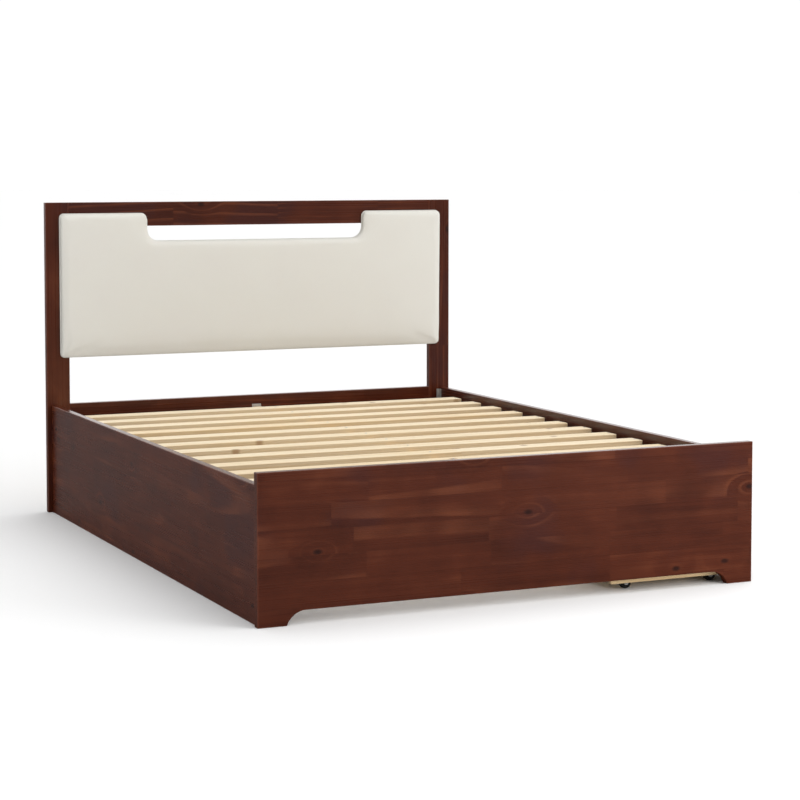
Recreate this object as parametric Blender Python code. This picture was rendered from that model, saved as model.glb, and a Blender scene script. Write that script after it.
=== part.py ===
"""Platform bed for a queen mattress, with two storage drawers that roll out of its right side.

Metres. +X is the sleeper's left, where the drawers come out, +Y runs from the footboard to the
headboard, and +Z is up. The origin is on the floor, under the middle of the bed's own box.
Pieces that touch keep a gap of FIT between their faces.
"""

import math

import bmesh
import bpy

# Whole bed
FIT = 0.0003
LENGTH = 2.159
FOOT_FRONT = -LENGTH / 2
HEAD_BACK = LENGTH / 2
EASED_EDGE = 0.0015

# Footboard with its bracket feet
FOOTBOARD_WIDTH = 1.600
FOOTBOARD_HEIGHT = 0.428
END_BOARD_THICKNESS = 0.025
FOOT_WIDTH = 0.0865
CUTOUT_HEIGHT = 0.040
CUTOUT_RADIUS = 0.0606
FOOT_BACK = FOOT_FRONT + END_BOARD_THICKNESS

# Headboard frame
HEADBOARD_WIDTH = 1.615
HEADBOARD_HEIGHT = 1.126
POST_WIDTH = 0.0845
TOP_RAIL_UNDERSIDE = 1.038
LOWER_RAIL_UNDERSIDE = 0.264
LOWER_RAIL_TOP = 0.394
HEAD_FACE = HEAD_BACK - END_BOARD_THICKNESS
POST_INNER = HEADBOARD_WIDTH / 2 - POST_WIDTH

# Upholstered pad and the board that it is wrapped on
PAD_HALF_WIDTH = 0.760
PAD_BOTTOM = 0.562
PAD_TOP = 1.087
PAD_NOTCH_HALF_WIDTH = 0.430
PAD_NOTCH_BOTTOM = 0.985
PAD_DEPTH = 0.032
PAD_BOARD_THICKNESS = 0.009
PAD_BOARD_INSET = 0.006
PAD_CORNER = 0.016
PAD_EAR_CORNER = 0.020
PAD_NOTCH_CORNER = 0.045

# Sides
SIDE_OUTER = 0.791
SIDE_THICKNESS = 0.022
SIDE_TOP = 0.390
SIDE_INNER = SIDE_OUTER - SIDE_THICKNESS
RIGHT_RAIL_UNDERSIDE = 0.267
DIVIDER_WIDTH = 0.040
DIVIDER_DEPTH = 0.044

# Slats and what they lie on
SLAT_COUNT = 12
SLAT_PITCH = 0.1675
SLAT_WIDTH = 0.068
SLAT_THICKNESS = 0.018
SLAT_TOP = 0.368
SLAT_HALF_LENGTH = 0.749
SLAT_FIRST_FRONT = FOOT_FRONT + 0.056
SLAT_UNDERSIDE = SLAT_TOP - SLAT_THICKNESS
LEDGER_DEPTH = 0.040
LEDGER_HEIGHT = 0.024
BEAM_WIDTH = 0.031
BEAM_HEIGHT = 0.060
BEAM_UNDERSIDE = SLAT_UNDERSIDE - FIT - BEAM_HEIGHT
LEG_LENGTH_ALONG_BEAM = 0.045
LEG_SPACING = 0.620

# Sheet steel brackets
STEEL = 0.002
SEAT_TOP = 0.360
SEAT_DEPTH = 0.040
ANGLE_LEG = 0.014
ANGLE_BOTTOM = 0.286
ANGLE_TOP = 0.383

# Drawers, in their own frame: x from the front's outer face, y from the drawer's middle
DRAWER_GAP = 0.003
DRAWER_FRONT_BOTTOM = 0.012
DRAWER_FRONT_TOP = RIGHT_RAIL_UNDERSIDE - DRAWER_GAP
DRAWER_BACK = -0.457
DRAWER_BOX_TOP = 0.200
DRAWER_SIDE_BOTTOM = 0.021
DRAWER_SIDE_SETBACK = 0.014
DRAWER_WALL = 0.012
DRAWER_FLOOR_UNDERSIDE = 0.045
DRAWER_FLOOR_THICKNESS = 0.009
DRAWER_LENGTH = -FOOT_BACK - DIVIDER_WIDTH / 2 - 2 * DRAWER_GAP
DRAWER_MIDDLE = (-FOOT_BACK + DIVIDER_WIDTH / 2) / 2
GRIP_HALF_WIDTH = 0.070
GRIP_DEPTH = 0.026
GRIP_RADIUS = 0.024

# Fixed castors under the drawers
WHEEL_RADIUS = 0.019
WHEEL_WIDTH = 0.014
WHEEL_BORE = 0.0031
WHEEL_HUB = 0.0062
WHEEL_SIDES = 20
AXLE_RADIUS = 0.0030
AXLE_SIDES = 20
RIVET_RADIUS = 0.0045
RIVET_HEAD = 0.0012
CHEEK_GAP = 0.017
CHEEK_THICKNESS = 0.0015
FORK_PLATE_LENGTH = 0.048
FORK_PLATE_WIDTH = 0.027
FORK_TOP = DRAWER_FLOOR_UNDERSIDE - FIT - WHEEL_RADIUS
CASTOR_BACK = -0.394
CASTOR_FRONT = -0.098
CASTOR_SETBACK = 0.042


def start_empty():
    """Removes every object, so that the script builds the same bed each time it runs."""
    for thing in list(bpy.data.objects):
        bpy.data.objects.remove(thing, do_unlink=True)


def linear(channel):
    """One sRGB channel, 0 to 255, as linear light, 0 to 1."""
    c = channel / 255
    return c / 12.92 if c <= 0.04045 else ((c + 0.055) / 1.055) ** 2.4


def material(name, srgb, roughness, metallic=0.0):
    """A Principled material from an sRGB colour."""
    made = bpy.data.materials.new(name)
    made.use_nodes = True
    shader = made.node_tree.nodes["Principled BSDF"]
    shader.inputs["Base Color"].default_value = (*[linear(c) for c in srgb], 1.0)
    shader.inputs["Roughness"].default_value = roughness
    shader.inputs["Metallic"].default_value = metallic
    return made


def stained_wood(name):
    """Red-brown walnut stain under a satin lacquer."""
    return material(name + "_stained_wood", (86, 48, 37), 0.35)


def bare_wood(name):
    """Planed softwood without a finish."""
    return material(name + "_bare_wood", (216, 192, 154), 0.6)


def fabric(name):
    """Cream woven upholstery."""
    return material(name + "_fabric", (216, 212, 202), 0.9)


def zinc_steel(name):
    """Pressed steel with a bright zinc coat."""
    return material(name + "_zinc_steel", (196, 196, 192), 0.35, 1.0)


def black_plastic(name):
    """Moulded black nylon."""
    return material(name + "_black_plastic", (28, 27, 27), 0.5)


def add_object(name, mesh, finish, location, parent=None):
    """Puts a mesh into the scene as one sub-part with a material of its own."""
    thing = bpy.data.objects.new(name, mesh)
    bpy.context.scene.collection.objects.link(thing)
    thing.location = location
    thing.parent = parent
    if not mesh.materials:
        mesh.materials.append(finish(name))
    return thing


def ease_edges(thing, segments):
    """Rounds the sharp edges of a board as a router or sandpaper leaves them."""
    bevel = thing.modifiers.new("eased_edges", "BEVEL")
    bevel.width = EASED_EDGE
    bevel.segments = segments
    bevel.limit_method = "ANGLE"
    bevel.angle_limit = math.radians(30)


def box_mesh(name, low, high):
    """A closed box between two corners."""
    shape = bmesh.new()
    bmesh.ops.create_cube(shape, size=1.0)
    for corner in shape.verts:
        for k in range(3):
            corner.co[k] = low[k] if corner.co[k] < 0 else high[k]
    return finished(name, shape)


def finished(name, shape):
    """Turns a bmesh into a mesh whose faces all point out."""
    bmesh.ops.recalc_face_normals(shape, faces=shape.faces)
    mesh = bpy.data.meshes.new(name)
    shape.to_mesh(mesh)
    shape.free()
    return mesh


def push_face(shape, face, push):
    """Extrudes one face of a bmesh into a closed prism."""
    pushed = bmesh.ops.extrude_face_region(shape, geom=[face])
    moved = [item for item in pushed["geom"] if isinstance(item, bmesh.types.BMVert)]
    bmesh.ops.translate(shape, vec=push, verts=moved)


def prism_mesh(name, outline, start, depth, axis):
    """An outline of (across, up) points, pushed from start by depth along X or Y."""
    shape = bmesh.new()
    if axis == "Y":
        corners = [shape.verts.new((across, start, up)) for across, up in outline]
        push = (0.0, depth, 0.0)
    else:
        corners = [shape.verts.new((start, across, up)) for across, up in outline]
        push = (depth, 0.0, 0.0)
    push_face(shape, shape.faces.new(corners), push)
    return finished(name, shape)


def arc(centre, radius, start, end, steps):
    """Points of (across, up) round a centre, from one angle to another in degrees."""
    angles = [math.radians(start + (end - start) * k / steps) for k in range(steps + 1)]
    return [(centre[0] + radius * math.cos(a), centre[1] + radius * math.sin(a)) for a in angles]


def board(name, low, high, finish, parent=None):
    """A straight board between two corners, with its origin in its middle."""
    half = [(b - a) / 2 for a, b in zip(low, high)]
    middle = [(a + b) / 2 for a, b in zip(low, high)]
    mesh = box_mesh(name, [-h for h in half], half)
    thing = add_object(name, mesh, finish, middle, parent)
    ease_edges(thing, 2 if finish is stained_wood else 1)


def union_mesh(name, solids):
    """One closed mesh from several overlapping ones."""
    base = add_object(name, solids[0], zinc_steel, (0, 0, 0))
    helpers = []
    for k, solid in enumerate(solids[1:]):
        helper = add_object(f"{name}_add_{k}", solid, zinc_steel, (0, 0, 0))
        helper.hide_render = True
        helper.display_type = "WIRE"
        joint = base.modifiers.new(f"add_{k}", "BOOLEAN")
        joint.operation = "UNION"
        joint.solver = "EXACT"
        joint.object = helper
        helpers.append(helper)
    seen = base.evaluated_get(bpy.context.evaluated_depsgraph_get())
    mesh = bpy.data.meshes.new_from_object(seen)
    mesh.materials.clear()
    for thing in [base, *helpers]:
        bpy.data.objects.remove(thing, do_unlink=True)
    return mesh


# Footboard: one glued panel, its lower edge cut away between two bracket feet.
def footboard_outline():
    half = FOOTBOARD_WIDTH / 2
    foot = half - FOOT_WIDTH
    drop = CUTOUT_RADIUS - CUTOUT_HEIGHT
    reach = math.sqrt(CUTOUT_RADIUS**2 - drop**2)
    opening = math.degrees(math.asin(drop / CUTOUT_RADIUS))
    left = arc((-foot + reach, -drop), CUTOUT_RADIUS, 180 - opening, 90, 8)
    right = arc((foot - reach, -drop), CUTOUT_RADIUS, 90, opening, 8)
    corners = [(half, 0.0), (half, FOOTBOARD_HEIGHT), (-half, FOOTBOARD_HEIGHT), (-half, 0.0)]
    return left + right + corners


def footboard():
    mesh = prism_mesh("footboard", footboard_outline(), 0.0, END_BOARD_THICKNESS, "Y")
    thing = add_object("footboard", mesh, stained_wood, (0.0, FOOT_FRONT, 0.0))
    ease_edges(thing, 2)


# Headboard frame: two posts to the floor, with a rail at the top and one behind the slats.
def headboard_frame():
    half = HEADBOARD_WIDTH / 2
    inner = POST_INNER - FIT
    left_low = (-half, HEAD_FACE, 0.0)
    left_high = (-POST_INNER, HEAD_BACK, HEADBOARD_HEIGHT)
    board("headboard_left_post", left_low, left_high, stained_wood)
    right_low = (POST_INNER, HEAD_FACE, 0.0)
    right_high = (half, HEAD_BACK, HEADBOARD_HEIGHT)
    board("headboard_right_post", right_low, right_high, stained_wood)
    top_low = (-inner, HEAD_FACE, TOP_RAIL_UNDERSIDE)
    top_high = (inner, HEAD_BACK, HEADBOARD_HEIGHT)
    board("headboard_top_rail", top_low, top_high, stained_wood)
    lower_low = (-inner, HEAD_FACE, LOWER_RAIL_UNDERSIDE)
    lower_high = (inner, HEAD_BACK, LOWER_RAIL_TOP)
    board("headboard_lower_rail", lower_low, lower_high, stained_wood)


# Pad: a wide notch in its top edge leaves a slot under the headboard's top rail.
def pad_outline(inset):
    half = PAD_HALF_WIDTH - inset
    notch = PAD_NOTCH_HALF_WIDTH + inset
    bottom = PAD_BOTTOM + inset
    top = PAD_TOP - inset
    dip = PAD_NOTCH_BOTTOM - inset
    corner = PAD_CORNER - inset
    ear = PAD_EAR_CORNER - inset
    bend = PAD_NOTCH_CORNER + inset
    right = arc((half - corner, bottom + corner), corner, -90, 0, 5)
    right += arc((half - corner, top - corner), corner, 0, 90, 5)
    right += arc((notch + ear, top - ear), ear, 90, 180, 5)
    right += arc((notch - bend, dip + bend), bend, 0, -90, 8)
    left = [(-across, up) for across, up in reversed(right)]
    return right + left


def headboard_pad():
    board_front = HEAD_FACE - FIT - PAD_BOARD_THICKNESS
    outline = pad_outline(PAD_BOARD_INSET)
    backing = prism_mesh("headboard_pad_board", outline, 0.0, PAD_BOARD_THICKNESS, "Y")
    add_object("headboard_pad_board", backing, bare_wood, (0.0, board_front, 0.0))
    padding_depth = PAD_DEPTH - PAD_BOARD_THICKNESS - 2 * FIT
    padding = prism_mesh("headboard_pad", pad_outline(0.0), 0.0, padding_depth, "Y")
    add_object("headboard_pad", padding, fabric, (0.0, HEAD_FACE - PAD_DEPTH, 0.0))


# Sides: a closed panel on the left, a rail above the two drawers on the right.
def side_boards():
    front = FOOT_BACK + FIT
    back = HEAD_FACE - FIT
    left_low = (-SIDE_OUTER, front, 0.0)
    left_high = (-SIDE_INNER, back, SIDE_TOP)
    board("left_side_panel", left_low, left_high, stained_wood)
    rail_low = (SIDE_INNER, front, RIGHT_RAIL_UNDERSIDE)
    rail_high = (SIDE_OUTER, back, SIDE_TOP)
    board("right_side_rail", rail_low, rail_high, stained_wood)
    divider_low = (SIDE_OUTER - DIVIDER_DEPTH, -DIVIDER_WIDTH / 2, 0.0)
    divider_high = (SIDE_OUTER, DIVIDER_WIDTH / 2, RIGHT_RAIL_UNDERSIDE - FIT)
    board("right_rail_divider", divider_low, divider_high, stained_wood)


def slat_ledgers():
    """Battens on the inner faces of the sides, which carry the slat ends."""
    outer = SIDE_INNER - FIT
    inner = outer - LEDGER_DEPTH
    front = FOOT_BACK + ANGLE_LEG + 2 * FIT
    back = HEAD_FACE - ANGLE_LEG - 2 * FIT
    top = SLAT_UNDERSIDE - FIT
    bottom = top - LEDGER_HEIGHT
    board("left_slat_ledger", (-outer, front, bottom), (-inner, back, top), stained_wood)
    board("right_slat_ledger", (inner, front, bottom), (outer, back, top), stained_wood)


def slats():
    for k in range(SLAT_COUNT):
        front = SLAT_FIRST_FRONT + k * SLAT_PITCH
        low = (-SLAT_HALF_LENGTH, front, SLAT_UNDERSIDE)
        high = (SLAT_HALF_LENGTH, front + SLAT_WIDTH, SLAT_TOP)
        board(f"slat_{k + 1:02d}", low, high, bare_wood)


# Centre beam on three legs, its ends in steel seats.
def centre_beam():
    half = BEAM_WIDTH / 2
    end = HEAD_FACE - 2 * FIT - STEEL
    low = (-half, -end, BEAM_UNDERSIDE)
    high = (half, end, BEAM_UNDERSIDE + BEAM_HEIGHT)
    board("centre_beam", low, high, bare_wood)
    for k in range(3):
        middle = (k - 1) * LEG_SPACING
        front = middle - LEG_LENGTH_ALONG_BEAM / 2
        leg_low = (-half, front, 0.0)
        leg_high = (half, front + LEG_LENGTH_ALONG_BEAM, BEAM_UNDERSIDE - FIT)
        board(f"centre_leg_{k + 1}", leg_low, leg_high, bare_wood)


def beam_seat_mesh():
    """A stirrup at the origin, its back plate on the plane y = 0 and its cup towards -Y."""
    inner = BEAM_WIDTH / 2 + FIT
    outer = inner + STEEL
    bottom = BEAM_UNDERSIDE - FIT - STEEL
    cheek_top = SLAT_UNDERSIDE - FIT
    back = box_mesh("seat_back", (-outer, -STEEL, bottom), (outer, 0.0, SEAT_TOP))
    floor = box_mesh("seat_floor", (-outer, -SEAT_DEPTH, bottom), (outer, 0.0, bottom + STEEL))
    left = box_mesh("seat_left", (-outer, -SEAT_DEPTH, bottom), (-inner, 0.0, cheek_top))
    right = box_mesh("seat_right", (inner, -SEAT_DEPTH, bottom), (outer, 0.0, cheek_top))
    return union_mesh("beam_seat", [back, floor, left, right])


def beam_seats():
    mesh = beam_seat_mesh()
    add_object("beam_seat_head", mesh, zinc_steel, (0.0, HEAD_FACE - FIT, 0.0))
    foot = add_object("beam_seat_foot", mesh.copy(), zinc_steel, (0.0, FOOT_BACK + FIT, 0.0))
    foot.rotation_euler = (0.0, 0.0, math.pi)


def angle_mesh(x_sign, y_sign):
    """An upright steel angle whose outer corner is at the origin, opening to the given sides."""
    leg = ANGLE_LEG
    outline = [(0, 0), (leg, 0), (leg, STEEL), (STEEL, STEEL), (STEEL, leg), (0, leg)]
    shape = bmesh.new()
    corners = [shape.verts.new((x * x_sign, y * y_sign, 0.0)) for x, y in outline]
    push_face(shape, shape.faces.new(corners), (0.0, 0.0, ANGLE_TOP - ANGLE_BOTTOM))
    return finished("corner_angle", shape)


def corner_angles():
    """Steel angles that hold the sides to the end boards, one in each inner corner."""
    for end, y_sign in (("foot", 1), ("head", -1)):
        for side, x_sign in (("left", 1), ("right", -1)):
            place = (-x_sign * (SIDE_INNER - FIT), -y_sign * (HEAD_FACE - FIT), ANGLE_BOTTOM)
            name = f"corner_angle_{end}_{side}"
            add_object(name, angle_mesh(x_sign, y_sign), zinc_steel, place)


# Drawers
def drawer_front_outline():
    """A rectangle whose top edge dips in the middle for the fingers."""
    half = DRAWER_LENGTH / 2
    top = DRAWER_FRONT_TOP
    dip = top - GRIP_DEPTH
    radius = GRIP_RADIUS
    right = [(half, DRAWER_FRONT_BOTTOM), (half, top), (GRIP_HALF_WIDTH, top)]
    right += arc((GRIP_HALF_WIDTH - radius, dip + radius), radius, 0, -90, 6)
    left = [(-across, up) for across, up in reversed(right)]
    return right + left


def drawer_box(end, holder):
    """Front, two sides, back and floor of one drawer."""
    outer = DRAWER_LENGTH / 2 - DRAWER_SIDE_SETBACK
    inner = outer - DRAWER_WALL
    join = -SIDE_THICKNESS - FIT
    front = prism_mesh("front", drawer_front_outline(), 0.0, -SIDE_THICKNESS, "X")
    panel = add_object(f"drawer_{end}_front", front, stained_wood, (0.0, 0.0, 0.0), holder)
    ease_edges(panel, 2)
    for word, low_y, high_y in (("near_foot", -outer, -inner), ("near_head", inner, outer)):
        low = (DRAWER_BACK, low_y, DRAWER_SIDE_BOTTOM)
        high = (join, high_y, DRAWER_BOX_TOP)
        board(f"drawer_{end}_side_{word}", low, high, bare_wood, holder)
    back_low = (DRAWER_BACK, -inner + FIT, DRAWER_FLOOR_UNDERSIDE)
    back_high = (DRAWER_BACK + DRAWER_WALL, inner - FIT, DRAWER_BOX_TOP)
    board(f"drawer_{end}_back", back_low, back_high, bare_wood, holder)
    floor_low = (DRAWER_BACK + DRAWER_WALL + FIT, -inner + FIT, DRAWER_FLOOR_UNDERSIDE)
    floor_top = DRAWER_FLOOR_UNDERSIDE + DRAWER_FLOOR_THICKNESS
    board(f"drawer_{end}_floor", floor_low, (join, inner - FIT, floor_top), bare_wood, holder)


def ring_of_points(shape, profile, angle):
    """Puts a profile of (radius, along) points beside the Y axis, turned from straight down."""
    across = math.sin(angle)
    down = -math.cos(angle)
    return [shape.verts.new((radius * across, along, radius * down)) for radius, along in profile]


def turned_mesh(name, profile, sides, bored):
    """A profile turned about the Y axis, with flat ends or, if it is bored, closed on itself."""
    shape = bmesh.new()
    rings = [ring_of_points(shape, profile, 2 * math.pi * k / sides) for k in range(sides)]
    spans = len(profile) if bored else len(profile) - 1
    for ring, following in zip(rings, rings[1:] + rings[:1]):
        for j in range(spans):
            step = (j + 1) % len(profile)
            shape.faces.new((ring[j], ring[step], following[step], following[j]))
    if not bored:
        shape.faces.new([ring[0] for ring in rings])
        shape.faces.new([ring[-1] for ring in rings])
    return finished(name, shape)


def fork_cheek_outline():
    """A cheek that narrows from the plate to a round end under the axle."""
    tip = 0.008
    shoulder = 0.019
    root = FORK_TOP - STEEL / 2
    return arc((0.0, 0.0), tip, 200, 340, 8) + [(shoulder, root), (-shoulder, root)]


def fork_mesh():
    """A castor's fork round the origin, which is the middle of its axle; the axle runs along Y."""
    half_length = FORK_PLATE_LENGTH / 2
    half_width = FORK_PLATE_WIDTH / 2
    low = (-half_length, -half_width, FORK_TOP - STEEL)
    solids = [box_mesh("fork_plate", low, (half_length, half_width, FORK_TOP))]
    inner = CHEEK_GAP / 2
    outer = inner + CHEEK_THICKNESS
    for start in (inner, -outer):
        solids.append(prism_mesh("fork_cheek", fork_cheek_outline(), start, CHEEK_THICKNESS, "Y"))
    head = outer + RIVET_HEAD
    sunk = outer - CHEEK_THICKNESS / 2
    axle = [(RIVET_RADIUS * 0.7, -head), (RIVET_RADIUS, -head + RIVET_HEAD / 2), (RIVET_RADIUS, -sunk)]
    axle.append((AXLE_RADIUS, -sunk))
    axle += [(radius, -along) for radius, along in reversed(axle)]
    solids.append(turned_mesh("fork_axle", axle, AXLE_SIDES, False))
    return union_mesh("castor_fork", solids)


def wheel_mesh():
    """A wheel about the Y axis: a bevelled tread, dished faces, and a hub bored for the axle."""
    half = WHEEL_WIDTH / 2
    dish = half - 0.0018
    hub_face = half + 0.0002
    profile = [(WHEEL_RADIUS, half * 0.65), (WHEEL_RADIUS - 0.0016, half)]
    profile += [(WHEEL_RADIUS - 0.0060, half), (WHEEL_HUB + 0.0006, dish)]
    profile += [(WHEEL_HUB, hub_face), (WHEEL_BORE, hub_face)]
    profile += [(radius, -along) for radius, along in reversed(profile)]
    return turned_mesh("castor_wheel", profile, WHEEL_SIDES, True)


def drawer_castors(end, holder, fork, wheel):
    """Four castors under one drawer's floor, named by where they are."""
    reach = DRAWER_LENGTH / 2 - CASTOR_SETBACK
    for depth_word, x in (("back", CASTOR_BACK), ("front", CASTOR_FRONT)):
        for end_word, y in (("near_foot", -reach), ("near_head", reach)):
            place = (x, y, WHEEL_RADIUS)
            label = f"drawer_{end}_%s_{depth_word}_{end_word}"
            add_object(label % "fork", fork.copy(), zinc_steel, place, holder)
            turning = add_object(label % "wheel", wheel.copy(), black_plastic, place, holder)
            turning.data.shade_smooth()
            turning.data.set_sharp_from_angle(angle=math.radians(40))


def drawers():
    """Two drawers, each under an empty on its line of travel in the middle of its front."""
    fork = fork_mesh()
    wheel = wheel_mesh()
    for end, middle in (("foot", -DRAWER_MIDDLE), ("head", DRAWER_MIDDLE)):
        holder = bpy.data.objects.new(f"drawer_{end}_travel", None)
        bpy.context.scene.collection.objects.link(holder)
        holder.location = (SIDE_OUTER, middle, 0.0)
        drawer_box(end, holder)
        drawer_castors(end, holder, fork, wheel)


start_empty()
footboard()
headboard_frame()
headboard_pad()
side_boards()
slat_ledgers()
slats()
centre_beam()
beam_seats()
corner_angles()
drawers()
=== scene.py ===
import math

import bpy
import numpy as np
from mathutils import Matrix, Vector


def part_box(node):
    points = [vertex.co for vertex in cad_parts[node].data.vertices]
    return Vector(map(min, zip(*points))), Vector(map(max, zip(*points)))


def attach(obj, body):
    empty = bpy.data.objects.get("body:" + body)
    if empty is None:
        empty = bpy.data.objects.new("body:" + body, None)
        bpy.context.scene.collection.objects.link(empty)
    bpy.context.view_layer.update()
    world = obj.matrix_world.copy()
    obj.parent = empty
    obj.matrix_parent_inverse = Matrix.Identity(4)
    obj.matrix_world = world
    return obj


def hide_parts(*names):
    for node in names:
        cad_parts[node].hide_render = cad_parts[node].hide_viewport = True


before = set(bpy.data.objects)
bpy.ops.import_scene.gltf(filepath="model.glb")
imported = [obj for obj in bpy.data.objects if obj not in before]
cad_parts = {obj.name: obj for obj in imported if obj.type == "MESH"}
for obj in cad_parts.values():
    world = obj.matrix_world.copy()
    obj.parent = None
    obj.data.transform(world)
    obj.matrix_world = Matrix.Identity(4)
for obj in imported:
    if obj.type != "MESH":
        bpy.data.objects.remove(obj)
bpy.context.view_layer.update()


# Studio: an open white cyclorama with a pale floor, lit from overhead by one very wide soft
# source, and a soft box at the right front, which brightens the footboard towards its right
# end. The camera stands at the front left, a little above the headboard's height.
STAGE_SPAN = 600.0
STAGE_GAP = 0.0005
OVERHEAD_SPREAD = math.radians(95)
OVERHEAD_LEAN = (math.radians(12), math.radians(20), 0.0)
OVERHEAD_STRENGTH = 1.85
SKY_BRIGHTNESS = 1.04
SKY_FILL = 0.56
SKY_MIRRORED = 0.18
BAND_MIRRORED = 1.7
FLOOR_MIRRORED = 0.12
CAMERA_PLACE = (-2.8218, -6.4655, 1.2695)
CAMERA_TURN = 0.42671
CAMERA_PITCH = 0.06437
CAMERA_LENS = 95.78
CAMERA_RISE = -0.125


def put(tree, kind, *inputs, **settings):
    """Adds a shader node. Each input is a value, a socket to link from, or None to leave it."""
    node = tree.nodes.new("ShaderNode" + kind)
    for key, value in settings.items():
        setattr(node, key, value)
    for socket, value in zip(node.inputs, inputs):
        if isinstance(value, bpy.types.NodeSocket):
            tree.links.new(value, socket)
        elif value is not None:
            socket.default_value = value
    return node


def calc(tree, operation, *inputs):
    """One Math node's result."""
    return put(tree, "Math", *inputs, operation=operation).outputs[0]


def remap(tree, value, low, high, to_low=0.0, to_high=1.0):
    """A value carried smoothly from one range to another and held at its ends."""
    node = put(tree, "MapRange", value, low, high, to_low, to_high)
    node.interpolation_type = "SMOOTHSTEP"
    return node.outputs[0]


def mixed(tree, amount, first, second):
    """Two colours mixed by an amount, on the Mix node's colour sockets."""
    before_colours = [None] * 5
    return put(tree, "Mix", amount, *before_colours, first, second, data_type="RGBA").outputs[2]


def clouds(tree, vector, scale, detail=2.0, rough=0.5):
    """Noise between 0 and 1 over a vector."""
    return put(tree, "TexNoise", vector, None, scale, detail, rough).outputs[0]


def tint(red, green, blue):
    """An sRGB colour, 0 to 255, as the linear colour that a shader takes."""
    channels = np.array([red, green, blue]) / 255
    low = channels / 12.92
    high = ((channels + 0.055) / 1.055) ** 2.4
    return (*np.where(channels <= 0.04045, low, high).tolist(), 1.0)


def finish_tree(name, roughness, **constants):
    """A new material: its node tree and its Principled shader, with constants on its sockets."""
    made = bpy.data.materials.new(name)
    made.use_nodes = True
    shader = made.node_tree.nodes["Principled BSDF"]
    shader.inputs["Roughness"].default_value = roughness
    for socket, value in constants.items():
        shader.inputs[socket.replace("_", " ")].default_value = value
    return made, made.node_tree, shader


def object_point(tree):
    """The surface point in the bed's own metres."""
    return tree.nodes.new("ShaderNodeTexCoord").outputs["Object"]


def add_object(name, data):
    """A new object in the scene round a mesh, a light or a camera."""
    made = bpy.data.objects.new(name, data)
    bpy.context.scene.collection.objects.link(made)
    return made


FLOOR_WHITE = tint(247, 247, 247)
FLOOR_BRIGHT = tint(250, 250, 250)


def studio_floor():
    """A flat square sheet, centred under the bed, just below the feet."""
    half = STAGE_SPAN / 2
    corners = [(x * half, y * half, -STAGE_GAP) for x, y in ((-1, -1), (1, -1), (1, 1), (-1, 1))]
    mesh = bpy.data.meshes.new("studio_floor")
    mesh.from_pydata(corners, [], [(0, 1, 2, 3)])
    floor = add_object("studio_floor", mesh)
    made, tree, shader = finish_tree("floor_paint", 0.85)
    speckle = clouds(tree, object_point(tree), 60.0)
    paint = mixed(tree, speckle, FLOOR_WHITE, FLOOR_BRIGHT)
    mirrored = tree.nodes.new("ShaderNodeLightPath").outputs["Is Glossy Ray"]
    paint = mixed(tree, calc(tree, "MULTIPLY", mirrored, 1.0 - FLOOR_MIRRORED), paint, tint(0, 0, 0))
    tree.links.new(paint, shader.inputs["Base Color"])
    mesh.materials.append(made)


def soft_box(name, place, aim, width, height, power):
    """An area light at a place, turned to an aim."""
    light = bpy.data.lights.new(name, "AREA")
    light.shape = "RECTANGLE"
    light.size = width
    light.size_y = height
    light.energy = power
    lamp = add_object(name, light)
    lamp.visible_camera = False
    lamp.visible_glossy = False
    lamp.location = place
    towards = np.array(aim) - np.array(place)
    flat = math.hypot(towards[0], towards[1])
    lift = math.pi / 2 + math.atan2(towards[2], flat)
    lamp.rotation_euler = (lift, 0.0, math.atan2(-towards[0], towards[1]))


def overhead_light():
    """A distant light as wide as most of the ceiling, so that it lights the whole floor alike."""
    light = bpy.data.lights.new("overhead_light", "SUN")
    light.energy = OVERHEAD_STRENGTH
    light.angle = OVERHEAD_SPREAD
    add_object("overhead_light", light).rotation_euler = OVERHEAD_LEAN


def white_surround():
    """A world that is white to the eye, softer as a light, and dim in a gloss, as a studio's
    dark side is, but for a bright low band behind the bed that its top edges mirror."""
    world = bpy.data.worlds.new("white_surround")
    world.use_nodes = True
    bpy.context.scene.world = world
    tree = world.node_tree
    sky = tree.nodes["Background"]
    sky.inputs["Color"].default_value = (1.0, 1.0, 1.0, 1.0)
    path = tree.nodes.new("ShaderNodeLightPath").outputs
    way = put(tree, "SeparateXYZ", tree.nodes.new("ShaderNodeTexCoord").outputs["Generated"]).outputs
    low = remap(tree, way[2], 0.22, 0.42, 1.0, 0.0)
    behind = remap(tree, way[1], 0.10, 0.45)
    band = remap(tree, calc(tree, "MULTIPLY", low, behind), 0.0, 1.0, SKY_MIRRORED, BAND_MIRRORED)
    strength = put(tree, "MapRange", path["Is Glossy Ray"], 0.0, 1.0, SKY_BRIGHTNESS, band).outputs[0]
    strength = put(tree, "MapRange", path["Is Diffuse Ray"], 0.0, 1.0, strength, SKY_FILL).outputs[0]
    tree.links.new(strength, sky.inputs["Strength"])


def studio_camera():
    """The camera: level across, tipped down by its pitch, with its lens shifted."""
    lens = bpy.data.cameras.new("camera")
    lens.lens = CAMERA_LENS
    lens.sensor_width = 36.0
    lens.shift_y = CAMERA_RISE
    lens.clip_end = 100.0
    camera = add_object("camera", lens)
    camera.location = CAMERA_PLACE
    camera.rotation_euler = (math.pi / 2 - CAMERA_PITCH, 0.0, -CAMERA_TURN)
    bpy.context.scene.camera = camera


bpy.context.scene.view_settings.view_transform = "Standard"
studio_floor()
white_surround()
studio_camera()
overhead_light()
soft_box("right_soft_box", (1.7, -3.3, 0.9), (0.5, -1.0, 0.2), width=1.6, height=1.4, power=42.0)


# Footboard: one panel of softwood staves glued edge to edge and end to end, stained red-brown
# and lacquered. It stands on two bracket feet and is bolted to the side boards from inside.
SOCKET_KINDS = {"Point": "Vector", "Low": "Vector", "High": "Vector", "Color": "Color"}


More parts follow.
